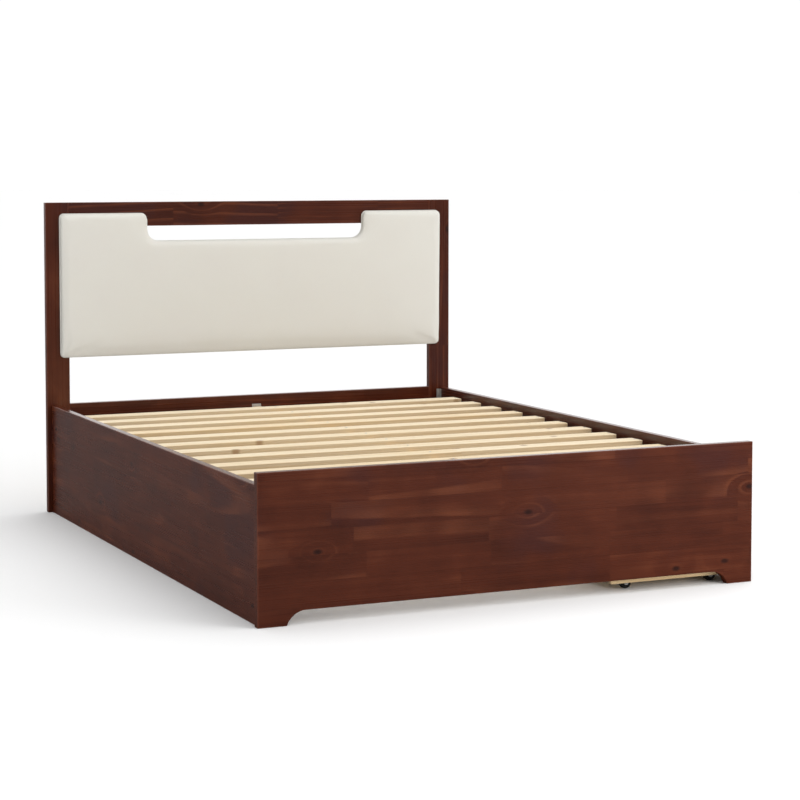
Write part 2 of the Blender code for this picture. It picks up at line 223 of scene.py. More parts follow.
def new_group(name, inputs, outputs):
    """A new node group: its tree, the sockets that carry its inputs, and those of its outputs.
    A socket is a number unless the table of kinds has its label."""
    group = bpy.data.node_groups.new(name, "ShaderNodeTree")
    for way, labels in (("INPUT", inputs), ("OUTPUT", outputs)):
        for label in labels:
            kind = SOCKET_KINDS.get(label, "Float")
            group.interface.new_socket(label, in_out=way, socket_type="NodeSocket" + kind)
    start = group.nodes.new("NodeGroupInput")
    end = group.nodes.new("NodeGroupOutput")
    return group, start.outputs[:len(inputs)], end.inputs[:len(outputs)]


def grain_group():
    """Wood grain inside a board. Each stave is a cell of rows and lengths with random numbers
    of its own. Growth rings are circles round a pith line that runs beside the stave at a
    slight slope, so their radius repeats as arches on a flat-sawn face. Knots push rings away."""
    inputs = ("Along", "Across", "Depth", "Seed", "Stave Height", "Stave Length")
    outputs = ("Tone", "Rings", "Fibre", "Streak", "Knot", "Glue")
    group, carried, results = new_group("wood_grain", inputs, outputs)
    along, across, depth, seed, height, length = carried
    rows = calc(group, "ADD", calc(group, "DIVIDE", across, height), seed)
    row = calc(group, "FLOOR", rows)
    row_seed = calc(group, "ADD", row, seed)
    row_luck = put(group, "TexWhiteNoise", None, row_seed, noise_dimensions="1D").outputs[0]
    cut = calc(group, "MULTIPLY", length, calc(group, "MULTIPLY_ADD", row_luck, 0.6, 0.7))
    lengths = calc(group, "ADD", calc(group, "DIVIDE", along, cut), calc(group, "MULTIPLY", row_luck, 9.0))
    cell = put(group, "CombineXYZ", row, calc(group, "FLOOR", lengths), seed).outputs[0]
    luck = put(group, "TexWhiteNoise", cell, noise_dimensions="3D")
    tone = luck.outputs[0]
    luck_1, luck_2, luck_3 = put(group, "SeparateColor", luck.outputs[1]).outputs[:3]
    row_part = calc(group, "FRACT", rows)
    length_part = calc(group, "FRACT", lengths)
    row_side = calc(group, "MINIMUM", row_part, calc(group, "SUBTRACT", 1.0, row_part))
    row_edge = calc(group, "MULTIPLY", row_side, height)
    end_side = calc(group, "MINIMUM", length_part, calc(group, "SUBTRACT", 1.0, length_part))
    end_edge = calc(group, "MULTIPLY", end_side, cut)
    glue = remap(group, calc(group, "MINIMUM", row_edge, end_edge), 0.0003, 0.0016, 1.0, 0.0)
    knot_along = calc(group, "MULTIPLY_ADD", along, 3.0, seed)
    knot_across = calc(group, "SUBTRACT", calc(group, "MULTIPLY", across, 5.6), seed)
    knot_point = put(group, "CombineXYZ", knot_along, knot_across)
    knots = put(group, "TexVoronoi", knot_point.outputs[0], None, 1.0, voronoi_dimensions="2D")
    knot_luck = put(group, "SeparateColor", knots.outputs["Color"]).outputs[0]
    near_knot = calc(group, "GREATER_THAN", knot_luck, 0.45)
    to_knot = knots.outputs["Distance"]
    knot = calc(group, "MULTIPLY", remap(group, to_knot, 0.016, 0.060, 1.0, 0.0), near_knot)
    swell = calc(group, "MULTIPLY", remap(group, to_knot, 0.0, 0.30, 0.009, 0.0), near_knot)
    warp_along = calc(group, "MULTIPLY", along, 2.1)
    warp_point = put(group, "CombineXYZ", warp_along, calc(group, "MULTIPLY", across, 7.0), tone)
    warp = calc(group, "MULTIPLY_ADD", clouds(group, warp_point.outputs[0], 1.0, 2.0), 0.020, -0.010)
    pith_side = calc(group, "MULTIPLY_ADD", luck_1, 0.16, -0.08)
    beside = calc(group, "MULTIPLY", calc(group, "SUBTRACT", row_part, 0.5), height)
    beside = calc(group, "ADD", beside, pith_side)
    slope = calc(group, "MULTIPLY_ADD", luck_3, 0.016, -0.008)
    stave_along = calc(group, "MULTIPLY", length_part, cut)
    below = calc(group, "MULTIPLY_ADD", stave_along, slope, calc(group, "ADD", depth, 0.05))
    below = calc(group, "MULTIPLY_ADD", luck_2, 0.03, below)
    beside_square = calc(group, "POWER", calc(group, "ABSOLUTE", calc(group, "ADD", beside, warp)), 2.0)
    below_square = calc(group, "POWER", calc(group, "ABSOLUTE", below), 2.0)
    radius = calc(group, "ADD", calc(group, "SQRT", calc(group, "ADD", beside_square, below_square)), swell)
    ring_width = calc(group, "MULTIPLY_ADD", luck_2, 0.0035, 0.0040)
    ring = calc(group, "FRACT", calc(group, "DIVIDE", radius, ring_width))
    rings = calc(group, "MULTIPLY", remap(group, ring, 0.60, 0.88), remap(group, ring, 0.92, 1.0, 1.0, 0.0))
    fibre_point = put(group, "CombineXYZ", calc(group, "MULTIPLY", along, 1.6),
                      calc(group, "MULTIPLY", across, 420.0), calc(group, "MULTIPLY", depth, 420.0))
    fibre = clouds(group, fibre_point.outputs[0], 1.0, 3.0, 0.6)
    streak_along = calc(group, "MULTIPLY_ADD", along, 2.2, calc(group, "MULTIPLY", tone, 30.0))
    streak_across = calc(group, "MULTIPLY", calc(group, "ADD", across, warp), 55.0)
    streak_depth = calc(group, "MULTIPLY", depth, 55.0)
    streak_point = put(group, "CombineXYZ", streak_along, streak_across, streak_depth)
    streak = clouds(group, streak_point.outputs[0], 1.0, 3.0, 0.55)
    for socket, value in zip(results, (tone, rings, fibre, streak, knot, glue)):
        group.links.new(value, socket)
    return group


def edge_group():
    """How near a point on a box-shaped board is to one of its edges: the middle one of the three
    distances to the box's faces, which is nought on an edge, broken up by noise. The finishes
    lighten the edges by it, partly as wear and partly as a painted highlight."""
    group, carried, results = new_group("worn_and_highlit_edges", ("Point", "Low", "High", "Width"), ("Edge",))
    point, low, high, width = carried
    from_low = put(group, "VectorMath", point, low, operation="SUBTRACT").outputs[0]
    from_high = put(group, "VectorMath", high, point, operation="SUBTRACT").outputs[0]
    nearest = put(group, "VectorMath", from_low, from_high, operation="MINIMUM").outputs[0]
    x, y, z = put(group, "SeparateXYZ", nearest).outputs[:3]
    least = calc(group, "MINIMUM", x, y)
    most = calc(group, "MAXIMUM", x, y)
    middle = calc(group, "MAXIMUM", least, calc(group, "MINIMUM", most, z))
    patchy = calc(group, "MULTIPLY_ADD", clouds(group, point, 22.0, 3.0, 0.6), 1.4, 0.3)
    edge = calc(group, "DIVIDE", middle, calc(group, "MULTIPLY", width, patchy))
    edge = remap(group, edge, 0.35, 1.0, 1.0, 0.0)
    group.links.new(edge, results[0])
    return group


GRAIN = grain_group()
WORN_AND_HIGHLIT_EDGES = edge_group()


def grain_in(tree, point, axes, seed, stave_height, stave_length):
    """The grain group over a board whose grain, width and thickness run along three axes."""
    parts = put(tree, "SeparateXYZ", point).outputs
    turned = [parts[axis] for axis in axes]
    return put(tree, "Group", *turned, seed, stave_height, stave_length, node_tree=GRAIN).outputs


def edge_in(tree, point, node_name, width):
    """The edge group over a CAD board's own box."""
    low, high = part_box(node_name)
    return put(tree, "Group", point, low, high, width, node_tree=WORN_AND_HIGHLIT_EDGES).outputs[0]


STAIN_DARK = tint(52, 17, 6)
STAIN_MIDDLE = tint(77, 31, 13)
STAIN_LIGHT = tint(126, 68, 40)
STAIN_COOL = tint(60, 27, 24)
STAIN_KNOT = tint(30, 11, 9)
# Edge wear and painted highlight: the light colour that the stained boards' edges are lightened towards.
STAIN_WORN_AND_HIGHLIT = tint(122, 64, 42)


def stain_group():
    """Stain colour from the grain. Tone and streaks carry it between a dark and a light stain,
    rings and fibres take a light line through it, and knots and glue lines darken it."""
    inputs = ("Tone", "Rings", "Fibre", "Streak", "Knot", "Glue", "Edge", "Point")
    group, carried, results = new_group("red_brown_stain", inputs, ("Color", "Roughness", "Height"))
    tone, rings, fibre, streak, knot, glue, edge, point = carried
    blotch = clouds(group, point, 5.5, 3.0, 0.6)
    level = calc(group, "MULTIPLY_ADD", tone, 0.14, 0.36)
    level = calc(group, "MULTIPLY_ADD", calc(group, "SUBTRACT", streak, 0.5), 0.45, level)
    level = calc(group, "MULTIPLY_ADD", calc(group, "SUBTRACT", fibre, 0.5), 0.16, level)
    level = calc(group, "MULTIPLY_ADD", calc(group, "SUBTRACT", blotch, 0.5), 0.70, level)
    colour = mixed(group, remap(group, level, 0.0, 0.62), STAIN_DARK, STAIN_MIDDLE)
    colour = mixed(group, calc(group, "MULTIPLY", remap(group, level, 0.48, 1.0), 0.6), colour, STAIN_LIGHT)
    cool = calc(group, "MULTIPLY", remap(group, clouds(group, point, 4.3, 2.0), 0.50, 0.66), 0.60)
    colour = mixed(group, cool, colour, STAIN_COOL)
    bright_patch = remap(group, clouds(group, point, 4.1, 2.0), 0.42, 0.66, 0.05, 0.32)
    colour = mixed(group, calc(group, "MULTIPLY", rings, bright_patch), colour, STAIN_LIGHT)
    colour = mixed(group, calc(group, "MULTIPLY", knot, 0.8), colour, STAIN_KNOT)
    colour = mixed(group, calc(group, "MULTIPLY", glue, 0.12), colour, STAIN_KNOT)
    # The edges are lightened, partly as wear of the stain and partly as a painted highlight along them.
    colour = mixed(group, calc(group, "MULTIPLY", edge, 0.30), colour, STAIN_WORN_AND_HIGHLIT)
    rough = calc(group, "MULTIPLY_ADD", fibre, 0.06, 0.25)
    rough = calc(group, "MULTIPLY_ADD", edge, 0.08, rough)
    raised = calc(group, "MULTIPLY_ADD", rings, 0.5, calc(group, "MULTIPLY", fibre, 0.25))
    sunk = calc(group, "MULTIPLY_ADD", glue, 0.1, calc(group, "MULTIPLY", knot, 0.4))
    raised = calc(group, "SUBTRACT", raised, sunk)
    for socket, value in zip(results, (colour, rough, raised)):
        group.links.new(value, socket)
    return group


STAIN = stain_group()
ALONG_X = (0, 2, 1)
ALONG_Y = (1, 2, 0)
ALONG_Z = (2, 0, 1)


def bump(tree, shader, height, distance):
    """A relief of some height in metres on a shader."""
    node = put(tree, "Bump", 0.7, distance)
    tree.links.new(height, node.inputs["Height"])
    tree.links.new(node.outputs[0], shader.inputs["Normal"])


def dress(node_name, finish):
    """Puts a finish on a CAD piece."""
    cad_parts[node_name].material_slots[0].material = finish


def stain_board(node_name, axes, seed, stave_height, stave_length):
    """Dresses one CAD board in stained, lacquered softwood, its staves drawn by the seed."""
    made, tree, shader = finish_tree(node_name + "_stained", 0.35, Specular_IOR_Level=0.42)
    point = object_point(tree)
    grain = grain_in(tree, point, axes, seed, stave_height, stave_length)
    edge = edge_in(tree, point, node_name, 0.004)
    node = put(tree, "Group", *grain[:6], edge, point, node_tree=STAIN)
    tree.links.new(node.outputs[0], shader.inputs["Base Color"])
    tree.links.new(node.outputs[1], shader.inputs["Roughness"])
    bump(tree, shader, node.outputs[2], 0.00012)
    dress(node_name, made)


stain_board("footboard", ALONG_X, 3.35, 0.0713, 0.46)


# Headboard frame: two full-height posts with a top rail and a lower rail butt-jointed between
# them, all in the same stained softwood as the footboard, each a single stave wide.
stain_board("headboard_left_post", ALONG_Z, 11.2, 0.40, 2.4)
stain_board("headboard_right_post", ALONG_Z, 17.9, 0.40, 2.4)
stain_board("headboard_top_rail", ALONG_X, 23.1, 0.60, 0.55)
stain_board("headboard_lower_rail", ALONG_X, 29.4, 0.60, 0.70)


# Side boards: a closed panel on the left, and on the right a rail over the drawers with a short
# post between them. The battens inside, which carry the slats, have the same stain.
stain_board("left_side_panel", ALONG_Y, 5.6, 0.0774, 0.62)
stain_board("right_side_rail", ALONG_Y, 8.3, 0.60, 0.80)
stain_board("right_rail_divider", ALONG_Z, 37.7, 0.40, 2.0)
stain_board("left_slat_ledger", ALONG_Y, 41.5, 0.60, 1.40)
stain_board("right_slat_ledger", ALONG_Y, 43.2, 0.60, 1.40)


# Slats, centre beam and legs: planed pine without a finish, creamy sapwood with tan latewood
# lines and a few knots. Each slat is cut from a board of its own.
PINE_PALE = tint(244, 229, 198)
PINE_WARM = tint(232, 204, 158)
PINE_LATEWOOD = tint(198, 156, 104)
PINE_KNOT = tint(128, 80, 48)
# Painted shade: the shaded tan that the pine boards' faces across their width are darkened towards.
PINE_PAINTED_SHADE = tint(196, 160, 110)


def pine_board(node_name, axes, seed):
    """Dresses one CAD board in bare pine, a single stave drawn by the seed."""
    made, tree, shader = finish_tree(node_name + "_pine", 0.62)
    point = object_point(tree)
    tone, rings, fibre, streak, knot, glue = grain_in(tree, point, axes, seed, 0.9, 3.1)[:6]
    level = calc(tree, "MULTIPLY_ADD", tone, 0.45, 0.12)
    level = calc(tree, "MULTIPLY_ADD", calc(tree, "SUBTRACT", streak, 0.5), 1.5, level)
    colour = mixed(tree, remap(tree, level, 0.1, 1.0), PINE_PALE, PINE_WARM)
    colour = mixed(tree, calc(tree, "MULTIPLY", rings, 0.38), colour, PINE_LATEWOOD)
    colour = mixed(tree, remap(tree, fibre, 0.52, 0.80, 0.0, 0.30), colour, PINE_LATEWOOD)
    colour = mixed(tree, calc(tree, "MULTIPLY", knot, 0.85), colour, PINE_KNOT)
    low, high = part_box(node_name)
    width = put(tree, "SeparateXYZ", point).outputs[axes[1]]
    from_low = calc(tree, "SUBTRACT", width, low[axes[1]])
    from_edge = calc(tree, "MINIMUM", from_low, calc(tree, "SUBTRACT", high[axes[1]], width))
    # Painted shade: the two faces across the board's width, and a millimetre beside them, are darkened; on
    # the slats these are the front and back faces, which stand in shade under the light from above.
    painted_face_shade = remap(tree, from_edge, 0.0003, 0.0012, 0.55, 0.0)
    colour = mixed(tree, painted_face_shade, colour, PINE_PAINTED_SHADE)
    # The edges are lightened a little, partly as wear and partly as a painted highlight along them.
    edge_wear_and_highlight = edge_in(tree, point, node_name, 0.003)
    colour = mixed(tree, calc(tree, "MULTIPLY", edge_wear_and_highlight, 0.12), colour, PINE_PALE)
    tree.links.new(colour, shader.inputs["Base Color"])
    tree.links.new(remap(tree, fibre, 0.2, 0.8, 0.55, 0.72), shader.inputs["Roughness"])
    bump(tree, shader, calc(tree, "ADD", rings, fibre), 0.0003)
    dress(node_name, made)


SLATS = sorted(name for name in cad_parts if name.startswith("slat_"))
LEGS = sorted(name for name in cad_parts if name.startswith("centre_leg_"))
for place, slat in enumerate(SLATS):
    pine_board(slat, (0, 1, 2), 51.3 + 7.77 * place)
pine_board("centre_beam", ALONG_Y, 150.2)
for place, leg in enumerate(LEGS, 1):
    pine_board(leg, ALONG_Z, 160.0 + 3.3 * place)


# Upholstered pad: foam on a plywood board, wrapped in a cream woven fabric that is pulled over
# the edges and stapled to the board's back. Its top edge is cut down in the middle, and it is
# screwed to the posts and the top rail from behind.
PAD_LOW, PAD_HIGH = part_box("headboard_pad")
PAD_BOARD_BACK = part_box("headboard_pad_board")[1].y
NOTCH_HALF_WIDTH = 0.430
NOTCH_BOTTOM = 0.985
NOTCH_BEND = 0.045
EAR_BEND = 0.020
PAD_BEND = 0.016
PAD_SHRINK = 0.0015
PAD_VOXEL = 0.0083
PAD_PUFF_LIMIT = 0.004
PAD_ROLL_REACH = 0.030
PAD_ROLL_DEPTH = 0.0035
PAD_SAG_REACH = 0.095
PAD_SAG_DEPTH = 0.0105
PAD_FRAMES = 20


def arc_points(across, up, bend, start, end, steps):
    """Points round (across, up) at a radius, from one angle to another in degrees."""
    angles = np.radians(np.linspace(start, end, steps + 1))
    return np.column_stack([across + bend * np.cos(angles), up + bend * np.sin(angles)])


def pad_outline(inset):
    """The pad's outline, drawn in by an inset: quarter arcs at the outer corners, the ears'
    inner corners and the notch's bottom corners, mirrored about the middle."""
    half = PAD_HIGH.x - inset
    notch = NOTCH_HALF_WIDTH + inset
    bottom = PAD_LOW.z + inset
    top = PAD_HIGH.z - inset
    dip = NOTCH_BOTTOM - inset
    corner = PAD_BEND
    right = np.vstack([
        arc_points(half - corner, bottom + corner, corner, -90, 0, 6),
        arc_points(half - corner, top - corner, corner, 0, 90, 6),
        arc_points(notch + EAR_BEND, top - EAR_BEND, EAR_BEND, 90, 180, 6),
        arc_points(notch - NOTCH_BEND, dip + NOTCH_BEND, NOTCH_BEND, 0, -90, 10),
    ])
    return np.vstack([right, right[::-1] * (-1, 1)])


def place_mesh(name, points, faces, body, finish, sharp=None):
    """A new piece from its points and faces, with its finish, on the body it rides with. It is
    shaded smooth up to the sharp angle in degrees, and flat without one."""
    mesh = bpy.data.meshes.new(name)
    mesh.from_pydata(points.tolist(), [], faces)
    mesh.materials.append(finish)
    if sharp is not None:
        mesh.shade_smooth()
        mesh.set_sharp_from_angle(angle=math.radians(sharp))
    piece = add_object(name, mesh)
    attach(piece, body)
    return piece


def sleeve_faces(rings, count, closed):
    """Quads between rings of points that follow one another, as one array of indexes."""
    ring = np.arange(rings if closed else rings - 1)[:, None] * count
    following = (ring + count) % (rings * count)
    j = np.arange(count)[None, :]
    step = (j + 1) % count
    return np.stack([ring + j, ring + step, following + step, following + j], -1).reshape(-1, 4).tolist()


def capped_faces(rings, count):
    """The quads of an open sleeve, with one more face to close each end."""
    last = (rings - 1) * count
    caps = [list(range(count))[::-1], list(range(last, last + count))]
    return sleeve_faces(rings, count, False) + caps


def copied_faces(faces, size, copies):
    """One shape's faces again for each copy, whose points follow one another by its size."""
    return [[corner + size * copy for corner in face] for copy in range(copies) for face in faces]


def distance_inside(points, outline):
    """The least distance from each (across, up) point to the outline's closed chain of edges."""
    near = np.full(len(points), 1e9)
    for start, end in zip(outline, np.roll(outline, -1, axis=0)):
        edge = end - start
        share = np.clip((points - start) @ edge / (edge @ edge), 0.0, 1.0)
        gap = points - start - share[:, None] * edge
        near = np.minimum(near, np.hypot(gap[:, 0], gap[:, 1]))
    return near


def pad_block(outline, front, back):
    """A closed block: the outline carried from front to back, with a face at each end."""
    count = len(outline)
    rings = [np.column_stack([outline[:, 0], np.full(count, y), outline[:, 1]]) for y in (front, back)]
    mesh = bpy.data.meshes.new("pad_cushion")
    mesh.from_pydata(np.vstack(rings).tolist(), [], capped_faces(2, count))
    return mesh


def read_points(mesh):
    """A mesh's points as an array of three columns."""
    flat = np.zeros(len(mesh.vertices) * 3, np.float32)
    mesh.vertices.foreach_get("co", flat)
    return flat.reshape(-1, 3).astype(float)


def write_points(mesh, points):
    """Puts an array of three columns back into a mesh."""
    mesh.vertices.foreach_set("co", points.astype(np.float32).ravel())
    mesh.update()


def inflate(piece, limit, frames):
    """Blows the fabric up from inside with the back held, then caps how far a point moved."""
    before = read_points(piece.data)
    held = piece.vertex_groups.new(name="held")
    held.add(np.flatnonzero(before[:, 1] > PAD_HIGH.y - 0.006).tolist(), 1.0, "REPLACE")
    cloth = piece.modifiers.new("puff", "CLOTH")
    cloth.settings.quality = 5
    cloth.settings.mass = 0.3
    cloth.settings.tension_stiffness = 40.0
    cloth.settings.compression_stiffness = 40.0
    cloth.settings.bending_stiffness = 12.0
    cloth.settings.vertex_group_mass = "held"
    cloth.settings.use_pressure = True
    cloth.settings.uniform_pressure_force = 4.0
    cloth.settings.effector_weights.gravity = 0.0
    cloth.collision_settings.use_collision = False
    for number in range(1, frames + 1):
        bpy.context.scene.frame_set(number)
    seen = piece.evaluated_get(bpy.context.evaluated_depsgraph_get())
    after = read_points(seen.data)
    piece.modifiers.clear()
    piece.vertex_groups.clear()
    bpy.context.scene.frame_set(1)
    move = after - before
    reach = np.maximum(np.linalg.norm(move, axis=1, keepdims=True), 1e-9)
    write_points(piece.data, before + move * np.minimum(1.0, limit / reach))


def apply_modifier(piece, modifier):
    """Bakes one modifier into a piece's mesh."""
    bpy.context.view_layer.objects.active = piece
    with bpy.context.temp_override(object=piece, active_object=piece):
        bpy.ops.object.modifier_apply(modifier=modifier.name)


def roll_edges(points, outline):
    """The foam is drawn round towards the edges: the front falls back by a depth times the square
    of how far a point is inside the roll's reach. The bottom edge has a deeper roll of its own,
    and the cloth has slack of half a millimetre as a product of sines."""
    inside = distance_inside(points[:, (0, 2)], outline)
    front_share = np.clip((PAD_HIGH.y - points[:, 1]) / (PAD_HIGH.y - PAD_LOW.y), 0.0, 1.0)
    across, up = points[:, 0], points[:, 2]
    fall = PAD_ROLL_DEPTH * np.clip(1.0 - inside / PAD_ROLL_REACH, 0.0, 1.0) ** 2
    fall += PAD_SAG_DEPTH * np.clip(1.0 - (up - PAD_LOW.z) / PAD_SAG_REACH, 0.0, 1.0) ** 2
    slack = np.sin(across * 19.0 + 1.3) * np.sin(up * 23.0 + across * 4.1)
    ripple = np.sin((across + up) * 210.0) * np.clip(1.0 - inside / 0.03, 0.0, 1.0)
    moved = points.copy()
    moved[:, 1] += front_share * (fall + 0.0006 * slack + 0.0002 * ripple)
    return moved


def fabric_group():
    """Plain weave: two sets of threads as sine waves that pass over and under each other in
    turn, each thread with a thickness and a tone of its own from stretched noise."""
    inputs = ("Across", "Up", "Thread")
    group, (across, up, thread), results = new_group("plain_weave", inputs, ("Height", "Slub"))
    turn = calc(group, "DIVIDE", math.pi, thread)
    warp = calc(group, "SINE", calc(group, "MULTIPLY", across, turn))
    weft = calc(group, "SINE", calc(group, "MULTIPLY", up, turn))
    over = calc(group, "MULTIPLY", warp, weft)
    ridge = calc(group, "ADD", calc(group, "ABSOLUTE", warp), calc(group, "ABSOLUTE", weft))
    height = calc(group, "MULTIPLY_ADD", over, 0.35, calc(group, "MULTIPLY", ridge, 0.5))
    upright = calc(group, "MULTIPLY", across, 700.0)
    upright = put(group, "CombineXYZ", upright, calc(group, "MULTIPLY", up, 14.0))
    level = calc(group, "MULTIPLY", across, 14.0)
    level = put(group, "CombineXYZ", level, calc(group, "MULTIPLY", up, 700.0))
    slub = calc(group, "ADD", clouds(group, upright.outputs[0], 1.0), clouds(group, level.outputs[0], 1.0))
    slub = calc(group, "MULTIPLY", slub, 0.5)
    group.links.new(calc(group, "MULTIPLY_ADD", slub, 0.5, height), results[0])
    group.links.new(slub, results[1])
    return group


FABRIC_LIGHT = tint(231, 230, 223)
FABRIC_DARK = tint(204, 201, 191)
FABRIC_SLUB = tint(219, 213, 202)
FABRIC_HANDLED = tint(222, 217, 211)
THREAD_SPACING = 0.0011


def surface_facing(tree):
    """How squarely the surface faces along X, Y and Z, each from 0 to 1."""
    normal = tree.nodes.new("ShaderNodeNewGeometry").outputs["Normal"]
    return [calc(tree, "ABSOLUTE", part) for part in put(tree, "SeparateXYZ", normal).outputs[:3]]


def cream_fabric():
    """The weave laid flat on whichever way the cloth faces: front, side or top."""
    made, tree, shader = finish_tree("cream_weave", 0.92, Sheen_Weight=0.35, Sheen_Roughness=0.45)
    point = object_point(tree)
    parts = put(tree, "SeparateXYZ", point).outputs
    facing = surface_facing(tree)
    weaves = [
        put(tree, "Group", parts[across], parts[up], THREAD_SPACING, node_tree=WEAVE).outputs
        for across, up in ((0, 2), (1, 2), (0, 1))
    ]
    sideways = remap(tree, facing[0], 0.6, 0.8)
    upwards = remap(tree, facing[2], 0.6, 0.8)
    blended = []
    for k in range(2):
        side = put(tree, "MapRange", sideways, 0.0, 1.0, weaves[0][k], weaves[1][k]).outputs[0]
        blended.append(put(tree, "MapRange", upwards, 0.0, 1.0, side, weaves[2][k]).outputs[0])
    height, slub = blended
    colour = mixed(tree, remap(tree, height, 0.1, 1.1), FABRIC_DARK, FABRIC_LIGHT)
    colour = mixed(tree, remap(tree, slub, 0.35, 0.65, 0.0, 0.35), colour, FABRIC_SLUB)
    handled = remap(tree, clouds(tree, point, 7.0, 3.0), 0.35, 0.75, 0.0, 0.22)
    colour = mixed(tree, handled, colour, FABRIC_HANDLED)
    tree.links.new(colour, shader.inputs["Base Color"])
    tree.links.new(remap(tree, slub, 0.2, 0.8, 0.86, 0.98), shader.inputs["Roughness"])
    bump(tree, shader, height, 0.0005)
    return made


WEAVE = fabric_group()
CREAM_FABRIC = cream_fabric()


def pad_cushion():
    """The padded front: a block drawn in a little, remeshed, blown up as cloth and smoothed."""
    outline = pad_outline(PAD_SHRINK)
    mesh = pad_block(outline, PAD_LOW.y + PAD_SHRINK, PAD_HIGH.y)
    mesh.materials.append(CREAM_FABRIC)
    piece = add_object("pad_cushion", mesh)
    remesh = piece.modifiers.new("even_quads", "REMESH")
    remesh.mode = "VOXEL"
    remesh.voxel_size = PAD_VOXEL
    apply_modifier(piece, remesh)
    inflate(piece, PAD_PUFF_LIMIT, PAD_FRAMES)
    write_points(piece.data, roll_edges(read_points(piece.data), outline))
    smooth = piece.modifiers.new("smooth_cloth", "SUBSURF")
    smooth.levels = 1
    smooth.render_levels = 1
    apply_modifier(piece, smooth)
    piece.data.materials.clear()
    piece.data.materials.append(CREAM_FABRIC)
    piece.data.shade_smooth()
    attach(piece, "frame")
    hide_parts("headboard_pad")


pad_cushion()

WRAP_PROFILE = np.array([
    (0.0025, -0.0020), (0.0012, 0.0010), (0.0008, 0.0040), (0.0014, 0.0072),
    (0.0032, 0.0094), (0.0052, 0.0096), (0.0055, 0.0060), (0.0055, -0.0020),
])
HEM_INSET = 0.0042
HEM_GAP = 0.0002
HEM_WIDTH = 0.032
HEM_THICKNESS = 0.0007
HEM_FOLD = 1.2
HEM_STEPS = 160
STAPLE_SPACING = 0.036
STAPLE_LENGTH = 0.010
STAPLE_GAP = 0.0006
POST_CLEARANCE = 0.0025


def pad_wrap():
    """The cloth over the board's edge: a (inset, depth) profile carried round the outline, its
    inset walked along each outline by drawing the outline in."""
    rings = [pad_outline(inset) for inset, depth in WRAP_PROFILE]
    depths = PAD_HIGH.y + WRAP_PROFILE[:, 1]
    points = np.stack([
        np.column_stack([ring[:, 0], np.full(len(ring), depth), ring[:, 1]])
        for ring, depth in zip(rings, depths)
    ]).reshape(-1, 3)
    faces = sleeve_faces(len(WRAP_PROFILE), len(rings[0]), True)
    place_mesh("pad_wrap", points, faces, "frame", CREAM_FABRIC, 180)


def along_chain(chain, count):
    """Points spaced evenly by length along a chain of (across, up) points."""
    steps = np.hypot(*np.diff(chain, axis=0).T)
    length = np.concatenate([[0.0], np.cumsum(steps)])
    wanted = np.linspace(0.0, length[-1], count)
    return np.column_stack([np.interp(wanted, length, chain[:, k]) for k in range(2)])


def inward(path):
    """Unit normals to the left of a path's direction, which point into the pad."""
    way = np.gradient(path, axis=0)
    way /= np.linalg.norm(way, axis=1, keepdims=True)
    return np.column_stack([-way[:, 1], way[:, 0]])


def hem_strip(name, chain, length):
    """The cloth turned over the board's back: a flat section carried along the chain, its cut
    edge wavering by a sum of two sines of the length run, its thickness lifted at the small tucks
    between staples."""
    path = along_chain(chain, HEM_STEPS)
    across = inward(path)
    run = np.linspace(0.0, length, HEM_STEPS)
    width = HEM_WIDTH * (1.0 + 0.05 * np.sin(run * 41.0) + 0.03 * np.sin(run * 97.0 + 0.7))
    lift = 0.00025 * (1.0 + np.sin(run * 2 * math.pi / STAPLE_SPACING))
    back = PAD_BOARD_BACK + HEM_GAP
    sections = []
    for part, depth in ((0.0, 0.0), (0.0, 1.0), (0.5, HEM_FOLD), (1.0, 1.0), (1.0, 0.0)):
        place = path + across * (width * part)[:, None]
        raised = back + depth * (HEM_THICKNESS + lift)
        sections.append(np.column_stack([place[:, 0], np.broadcast_to(raised, len(path)), place[:, 1]]))
    points = np.stack(sections, 1).reshape(-1, 3)
    faces = capped_faces(HEM_STEPS, len(sections))
    place_mesh(name, points, faces, "frame", CREAM_FABRIC, 50)


def hem_chains():
    """The board's outline where no post or rail covers it: along the bottom, and round the notch."""
    outline = pad_outline(HEM_INSET)
    post_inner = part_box("headboard_right_post")[0].x - POST_CLEARANCE
    rail_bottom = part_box("headboard_top_rail")[0].z - POST_CLEARANCE
    bottom = np.array([(-post_inner, outline[0, 1]), (post_inner, outline[0, 1])])
    in_notch = (outline[:, 1] < rail_bottom) & (outline[:, 1] > (PAD_LOW.z + PAD_HIGH.z) / 2)
    notch = outline[in_notch]
    notch = np.vstack([(notch[0, 0], rail_bottom), notch, (notch[-1, 0], rail_bottom)])
    return bottom, notch


HEM_BOTTOM, HEM_NOTCH = hem_chains()
pad_wrap()
hem_strip("pad_hem_bottom", HEM_BOTTOM, 1.42)
hem_strip("pad_hem_notch", HEM_NOTCH, 0.93)


# Plywood: the pad's board and the drawers' sides, backs and floors. The faces are pale rotary
# veneer with a wide soft figure, and the cut edges show the plies as light and dark lines.
PLY_PALE = tint(232, 208, 168)
PLY_WARM = tint(214, 180, 130)
PLY_DARK = tint(168, 126, 80)
PLY_THICKNESS = 0.0015


